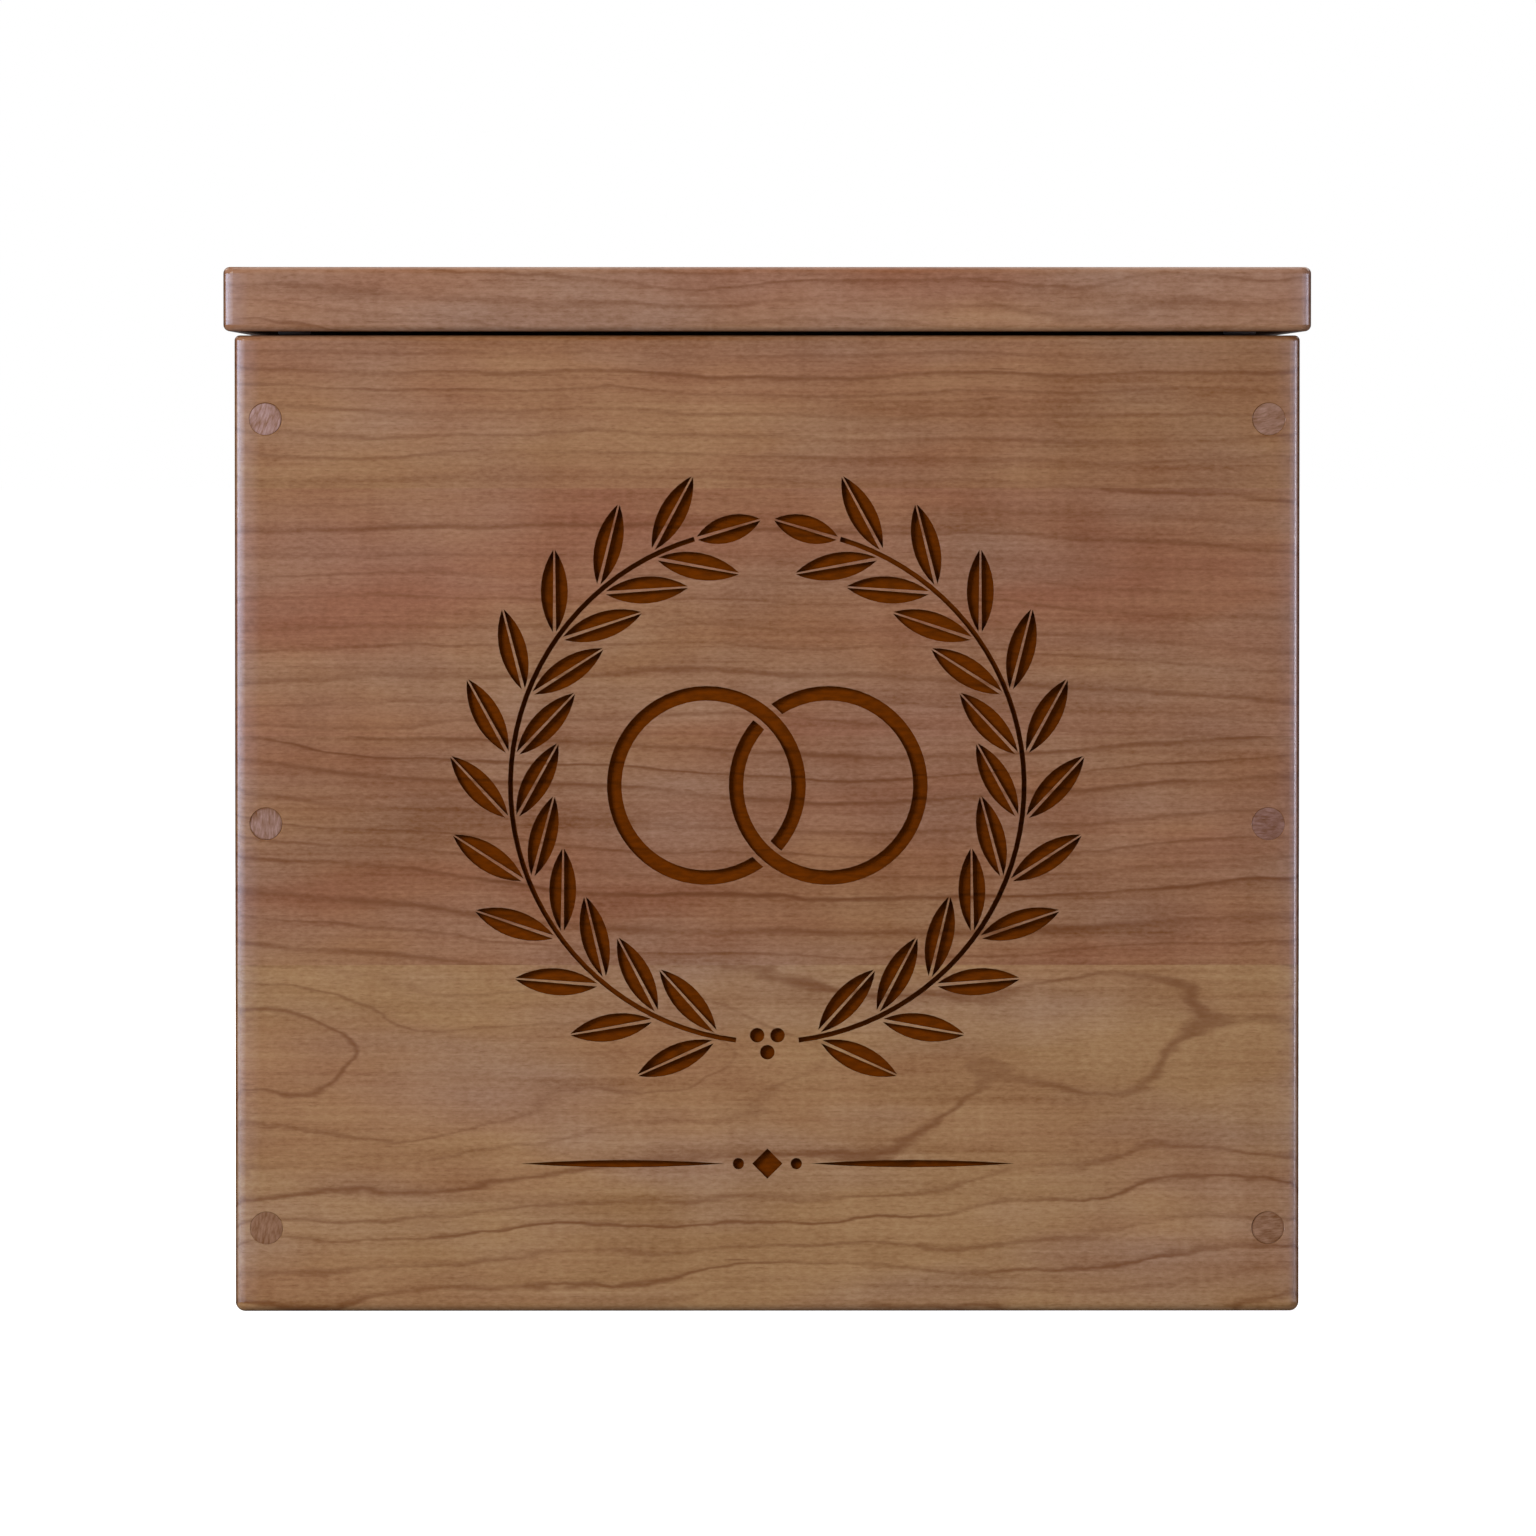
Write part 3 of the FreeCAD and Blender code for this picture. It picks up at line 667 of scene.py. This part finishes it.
boards = [
    Board("front_panel", "cherry_front", (0, 2, 1), 1, front_staves, 4.0, True),
    Board("back_panel", "cherry_back", (0, 2, 1), -1, back_staves, 21.0, False),
    Board("left_side_panel", "cherry_left", (1, 2, 0), 1, left_staves, 37.0, False),
    Board("right_side_panel", "cherry_right", (1, 2, 0), -1, right_staves, 53.0, False),
    Board("lid_board", "cherry_lid", (0, 1, 2), -1, lid_staves, 71.0, False),
]


def paint(piece, material):
    piece.data.materials.clear()
    piece.data.materials.append(material)


def dress_boards():
    for board in boards:
        paint(nodes[board.node], cherry(board))
    paint(nodes["bottom_panel"], plywood("veneer_plywood"))


def dress_hardware():
    pin_low, pin_high = node_corners("left_hinge_pin")
    screw_low, _ = node_corners("left_hinge_lid_screws")
    pin_height = float(pin_low[2] + pin_high[2]) / 2
    hinge_brass = brass("satin_brass")
    screw_steel = zinc_steel("zinc_steel")
    hinge_screws = screw_brass("screw_brass", pin_height, float(screw_low[2]) - pin_height)
    for name, node in nodes.items():
        if name.endswith("_screws"):
            paint(node, hinge_screws if "hinge" in name else screw_steel)
        elif "hinge" in name:
            paint(node, hinge_brass)


# Turned pieces: plugs and bumpers

turn_sides = 72
rim_steps = 6


def turned(profile):
    """Solid of revolution: each profile point (radius, height) becomes a ring of points (radius cos a,
    radius sin a, height) for angles a all the way round; the first and the last are the poles, single points.

    Returns the points, the faces as an array of quads and one of triangles, and each point's radius.
    """
    profile = np.asarray(profile, float)
    rings = profile[1:-1]
    angle = np.linspace(0.0, 2.0 * np.pi, turn_sides, endpoint=False)
    circle = np.stack([np.cos(angle), np.sin(angle)], axis=1)
    heights = np.broadcast_to(rings[:, None, 1:], (len(rings), turn_sides, 1))
    body = np.concatenate([rings[:, None, :1] * circle[None], heights], axis=2)
    points = np.vstack([[0.0, 0.0, profile[0, 1]], body.reshape(-1, 3), [0.0, 0.0, profile[-1, 1]]])
    radii = np.concatenate([[0.0], np.repeat(rings[:, 0], turn_sides), [0.0]])
    side = np.arange(turn_sides)
    beside = (side + 1) % turn_sides
    row = 1 + turn_sides * np.arange(len(rings) - 1)[:, None]
    above = row + turn_sides
    quads = np.stack([row + side, row + beside, above + beside, above + side], axis=2).reshape(-1, 4)
    last = 1 + turn_sides * (len(rings) - 1)
    low_cap = np.stack([np.zeros_like(side), 1 + beside, 1 + side], axis=1)
    high_cap = np.stack([np.full_like(side, len(points) - 1), last + side, last + beside], axis=1)
    return points, (quads, np.vstack([low_cap, high_cap])), radii


def copied_faces(faces, count, stride):
    """Faces of so many copies of a mesh, whose points follow each other at a stride."""
    steps = stride * np.arange(count)[:, None, None]
    quads, triangles = ((kind + steps).reshape(-1, kind.shape[1]).tolist() for kind in faces)
    return quads + triangles


def add_piece(name, points_mm, faces, material, body, replaced):
    """A smooth mesh at the origin, in metres, riding on a body in place of a CAD node."""
    mesh = bpy.data.meshes.new(name)
    mesh.from_pydata((np.asarray(points_mm) * MM).tolist(), [], faces)
    mesh.shade_smooth()
    mesh.materials.append(material)
    piece = bpy.data.objects.new(name, mesh)
    bpy.context.scene.collection.objects.link(piece)
    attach(piece, body)
    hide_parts(replaced)
    return piece


def rounded_rim(radius, height, rim):
    """Quarter circle from the side wall up to the face: profile points at (cos a, sin a) times the rim's
    radius from its centre, which lies that far in from the wall and below the face."""
    angle = np.linspace(0.0, np.pi / 2, rim_steps)
    return [(radius - rim + rim * math.cos(a), height - rim + rim * math.sin(a)) for a in angle]


# A plug's rim radius, how far its rim lies below the board's face, how much higher its middle is, and the
# shares of its radius at which its face has rings; the chamfer of its hole and how much of it a plug can fill
plug_rim = 0.08
plug_sunk = 0.04
plug_dome = 0.03
plug_face_rings = (0.85, 0.6, 0.3, 0.0)
hole_chamfer = 0.3
chamfer_fill = 0.9

# How far a plug's face may lean, as a slope, and how far over the wood's map lie the places that plugs are
# cut from
plug_lean = 0.002
plug_map_reach = 90.0


def plug_profile(radius, length):
    """Turned plug: flat inner end, straight side, eased rim from the hole's chamfer up, and a face crowned by
    a few hundredths, which falls with the square of the way from its middle."""
    edge = length - plug_sunk
    side = [(radius, 0.0), (radius, length - hole_chamfer)]
    face = [(radius * share, edge + plug_dome * (1 - share * share)) for share in plug_face_rings]
    return [(0.0, 0.0)] + side + rounded_rim(radius, edge, plug_rim) + face


# A plug: the colour of its wood, how dark its glue line is, how far its grain is turned from upright, how
# much less of the chamfer round it is filled on the side where it stays open, where 1 or more leaves it bare,
# and which side that is, counted from +X; both turns are in radians
Plug = namedtuple("Plug", "stain glue turn gap gap_turn")

pale_plug = (0.305, 0.170, 0.132)
rosy_plug = (0.258, 0.138, 0.098)
drab_plug = (0.252, 0.128, 0.080)
dusky_plug = (0.205, 0.096, 0.066)
golden_plug = (0.222, 0.106, 0.054)

# The plugs of each row, from the lowest up
plug_rows = {
    ("front", "left"): [
        Plug(golden_plug, 0.1, 0.15, 0.5, -0.3),
        Plug(rosy_plug, 0.6, 0.0, 2.2, -1.9),
        Plug(pale_plug, 0.3, 0.3, 1.4, 0.4),
    ],
    ("front", "right"): [
        Plug(golden_plug, 0.4, 1.5, 2.2, -2.2),
        Plug(dusky_plug, 0.0, 1.6, 0.1, 1.0),
        Plug(drab_plug, 0.1, 1.3, 0.5, 3.0),
    ],
    ("back", "left"): [
        Plug(drab_plug, 0.7, 1.6, 0.6, 0.8),
        Plug(golden_plug, 0.6, 1.4, 0.9, -1.2),
        Plug(rosy_plug, 0.8, 0.2, 0.4, 2.6),
    ],
    ("back", "right"): [
        Plug(rosy_plug, 0.8, 0.1, 0.9, -0.6),
        Plug(drab_plug, 0.5, 1.5, 0.3, 1.9),
        Plug(golden_plug, 0.7, 0.3, 0.7, -2.8),
    ],
}


def plug_row(face, hand, plugs, material, seed):
    """The plugs down one side of the front or the back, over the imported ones.

    Within the chamfer's depth the rim swells outwards in step with it, by a share that falls along a cosine
    towards the side where the chamfer stays open.
    """
    node = f"{face}_{hand}_plugs"
    low, high = node_corners(node)
    radius, length = (high[0] - low[0]) / 2, high[1] - low[1]
    points, faces, radii = turned(plug_profile(radius, length))
    outward = -1.0 if face == "front" else 1.0
    inner_y = high[1] if face == "front" else low[1]
    middle_x = (low[0] + high[0]) / 2
    local_x, local_z = points[:, 0] * -outward, points[:, 1]
    way = np.arctan2(local_z, local_x)
    lip = np.clip(points[:, 2] - (length - hole_chamfer), 0.0, None) * (radii > radius - 2 * plug_rim)
    heights = np.linspace(low[2] + radius, high[2] - radius, len(plugs))
    lots = np.random.default_rng(seed)
    placed, maps = [], []
    for plug, height in zip(plugs, heights):
        lean = lots.uniform(-plug_lean, plug_lean, 2)
        y = inner_y + outward * (points[:, 2] + lean[0] * local_x + lean[1] * local_z)
        towards_gap = 0.5 + 0.5 * np.cos(way - plug.gap_turn)
        filled = chamfer_fill * np.clip(1.0 - plug.gap * towards_gap, 0.0, 1.0)
        swell = 1.0 + lip * filled / radius
        placed.append(np.stack([middle_x + local_x * swell, y, height + local_z * swell], axis=1))
        turn = [[math.cos(plug.turn), math.sin(plug.turn)], [-math.sin(plug.turn), math.cos(plug.turn)]]
        maps.append(np.stack([local_x, local_z], axis=1) @ turn + lots.uniform(0, plug_map_reach, 2))
    all_faces = copied_faces(faces, len(plugs), len(points))
    row_name = f"{face}_{hand}_plug_row"
    piece = add_piece(row_name, np.vstack(placed), all_faces, material, "case", node)
    stains = np.array([(*plug.stain, 1.0) for plug in plugs])
    glues = np.array([plug.glue for plug in plugs])
    store_plug_maps(piece.data, np.vstack(maps), np.tile(radii / radius, len(plugs)),
                    np.repeat(glues, len(points)), np.repeat(stains, len(points), axis=0))


def store_plug_maps(mesh, face_map, rim, glue, stain):
    """Puts into a row of plugs the map of each face in millimetres, how near each point is to the rim, and
    each plug's glue line and stain."""
    corners = np.empty(len(mesh.loops), np.int32)
    mesh.loops.foreach_get("vertex_index", corners)
    layer = mesh.uv_layers.new(name="plug_face")
    layer.data.foreach_set("uv", face_map[corners].astype(np.float32).ravel())
    fields = [
        ("rim", "FLOAT", "value", rim),
        ("glue", "FLOAT", "value", glue),
        ("stain", "FLOAT_COLOR", "color", stain),
    ]
    for name, kind, field, values in fields:
        attribute = mesh.attributes.new(name, kind, "POINT")
        attribute.data.foreach_set(field, values.astype(np.float32).ravel())


def make_plugs():
    material = plug_wood("plug_wood", plug_seed)
    for seed, ((face, hand), plugs) in enumerate(plug_rows.items()):
        plug_row(face, hand, plugs, material, seed)


# A bumper's crown, the radius of its edge, and the shares of its radius at which its crown has rings
bumper_crown = 0.12
bumper_rim = 0.7
bumper_rings = (0.78, 0.5, 0.25, 0.0)


def make_bumpers():
    """Two low rubber domes under the lid's front corners, turned upside down: the crown falls with the square
    of the way from its middle and ends in a rounded edge."""
    low, high = node_corners("lid_bumpers")
    radius, height = (high[1] - low[1]) / 2, high[2] - low[2]
    crown = [(radius * share, height - bumper_crown * share * share) for share in bumper_rings]
    rim = rounded_rim(radius, height - bumper_crown, bumper_rim)
    points, faces, _ = turned([(0.0, 0.0), (radius, 0.0)] + rim + crown)
    upside_down = points * (1.0, -1.0, -1.0)
    centres = [(x, (low[1] + high[1]) / 2, high[2]) for x in (low[0] + radius, high[0] - radius)]
    placed = np.vstack([upside_down + centre for centre in centres])
    all_faces = copied_faces(faces, len(centres), len(points))
    add_piece("lid_bumper_pair", placed, all_faces, rubber("brown_rubber"), "lid", "lid_bumpers")


# Stage: pale floor, soft light and the camera, in metres

camera_distance = 3.6
camera_height = 0.272
camera_aside = -0.02
framed_centre = (0.0002, 0.1653)
framed_width = 0.4662
sensor_width = 36.0
floor_reach = 40.0
floor_grey = (0.82, 0.82, 0.82)
floor_glow = 0.86

# An area lamp: its name and place, what it points at, its size, the radiance of its face, its colour, and the
# share of it that gloss mirrors
Lamp = namedtuple("Lamp", "name place target width height radiance colour mirrored")

box_middle = (0.0, 0.0, 0.16)
right_edge = (0.16, -0.15, 0.14)
strip_blue = (0.85, 0.86, 1.0)

lamps = [
    Lamp("key_left", (-1.9, -2.3, 1.3), box_middle, 1.1, 1.1, 20.3, white, 0.25),
    Lamp("fill_right", (1.7, -2.6, 0.9), box_middle, 1.4, 1.4, 0.6, white, 1.0),
    Lamp("strip_right", (1.81, -0.17, 0.14), right_edge, 0.18, 0.30, 22.0, strip_blue, 1.0),
    Lamp("top", (0.0, 0.2, 2.4), box_middle, 1.6, 1.6, 1.8, white, 1.0),
    Lamp("back", (0.5, 2.3, 1.7), box_middle, 1.6, 1.6, 9.5, white, 0.15),
    Lamp("glint_left", (-1.9, 1.9, 1.7), box_middle, 1.0, 1.0, 2.6, white, 1.0),
    Lamp("glint_right", (1.9, 1.9, 1.7), box_middle, 1.0, 1.0, 2.6, white, 1.0),
]

# The light all round, from the front and from behind, and the glow from each side: which side, how strong it
# is and its colour; it rises and falls over heights of the direction it comes from, and ends towards the back
ambient_front = 0.25
ambient_behind = 0.10
side_glows = [(-1.0, 10.6, (0.58, 0.77, 1.08)), (1.0, 5.6, (0.80, 0.78, 1.0))]
glow_rise = (-0.072, -0.022)
glow_fall = (0.06, 0.12)
glow_back = (0.25, 0.45)


def make_floor():
    corners = [(x * floor_reach, y * floor_reach, 0.0) for x, y in ((-1, -1), (1, -1), (1, 1), (-1, 1))]
    mesh = bpy.data.meshes.new("floor")
    mesh.from_pydata(corners, [], [(0, 1, 2, 3)])
    floor = bpy.data.objects.new("floor", mesh)
    bpy.context.scene.collection.objects.link(floor)
    finish = Finish("pale_floor")
    mesh.materials.append(finish.set(Base_Color=floor_grey, Roughness=0.8, Specular_IOR_Level=0.1,
                                     Emission_Color=white, Emission_Strength=floor_glow))
    floor.visible_diffuse = False
    floor.visible_glossy = False


def aim(thing, place, target):
    """Puts a light or the camera at a place, looking along its own -Z at a target."""
    way = np.subtract(target, place)
    flat = math.hypot(way[0], way[1])
    thing.location = place
    thing.rotation_euler = (math.atan2(flat, -way[2]), 0.0, math.atan2(-way[0], way[1]))


def hang(lamp, label, share, glossy):
    """An area light with a share of a lamp's radiance, which gloss mirrors or not."""
    data = bpy.data.lights.new(label, "AREA")
    data.shape = "RECTANGLE"
    data.size, data.size_y = lamp.width, lamp.height
    data.energy = lamp.radiance * share * lamp.width * lamp.height * math.pi
    data.color = lamp.colour
    light = bpy.data.objects.new(label, data)
    bpy.context.scene.collection.objects.link(light)
    light.visible_camera = False
    light.visible_glossy = glossy
    aim(light, lamp.place, lamp.target)


def make_light():
    """A soft key from the upper left, a weak fill, a strip beside the right edge, light for the top and the
    back, and two small lamps behind for the brass to mirror."""
    for lamp in lamps:
        hang(lamp, lamp.name, lamp.mirrored, True)
        if lamp.mirrored < 1.0:
            hang(lamp, f"{lamp.name}_matt", 1.0 - lamp.mirrored, False)
    make_world()


def make_world():
    """White where the camera looks past the object; on everything else a soft light, brighter from the front,
    with a low cool band of light that grows towards both sides."""
    world = bpy.data.worlds.new("studio")
    bpy.context.scene.world = world
    world.use_nodes = True
    sky = Shading(world.node_tree)
    x, y, z = sky.parts(sky.node("TexCoord", {}).outputs["Generated"])
    soft = sky.ramp(y, -1.0, 1.0, ambient_front, ambient_behind, smooth=False)
    around = sky.node("Background", {"Color": white, "Strength": soft}).outputs[0]
    level = sky.times(sky.ramp(z, *glow_rise), sky.ramp(z, *glow_fall, 1.0, 0.0))
    window = sky.times(level, sky.ramp(y, *glow_back, 1.0, 0.0))
    for side, strength, colour in side_glows:
        beside = sky.times(sky.ramp(sky.times(x, side), 0.0, 1.0, 0.0, strength, smooth=False), window)
        band = sky.node("Background", {"Color": colour, "Strength": beside}).outputs[0]
        around = sky.node("AddShader", {0: around, 1: band}).outputs[0]
    plain = sky.node("Background", {"Color": white, "Strength": 1.0}).outputs[0]
    seen = sky.node("LightPath", {}).outputs["Is Camera Ray"]
    chosen = sky.node("MixShader", {0: seen, 1: around, 2: plain}).outputs[0]
    sky.join(sky.tree.nodes["World Output"].inputs["Surface"], chosen)


def make_camera():
    lens = bpy.data.cameras.new("camera")
    lens.sensor_width = sensor_width
    lens.lens = sensor_width * camera_distance / framed_width
    camera = bpy.data.objects.new("camera", lens)
    bpy.context.scene.collection.objects.link(camera)
    front_y = node_corners("front_panel")[0][1] * MM
    target = (framed_centre[0], front_y, framed_centre[1])
    aim(camera, (camera_aside, front_y - camera_distance, camera_height), target)
    bpy.context.scene.camera = camera


def make_stage():
    make_floor()
    make_light()
    make_camera()
    bpy.context.scene.view_settings.view_transform = "Standard"


dress_boards()
dress_hardware()
make_plugs()
make_bumpers()
make_stage()
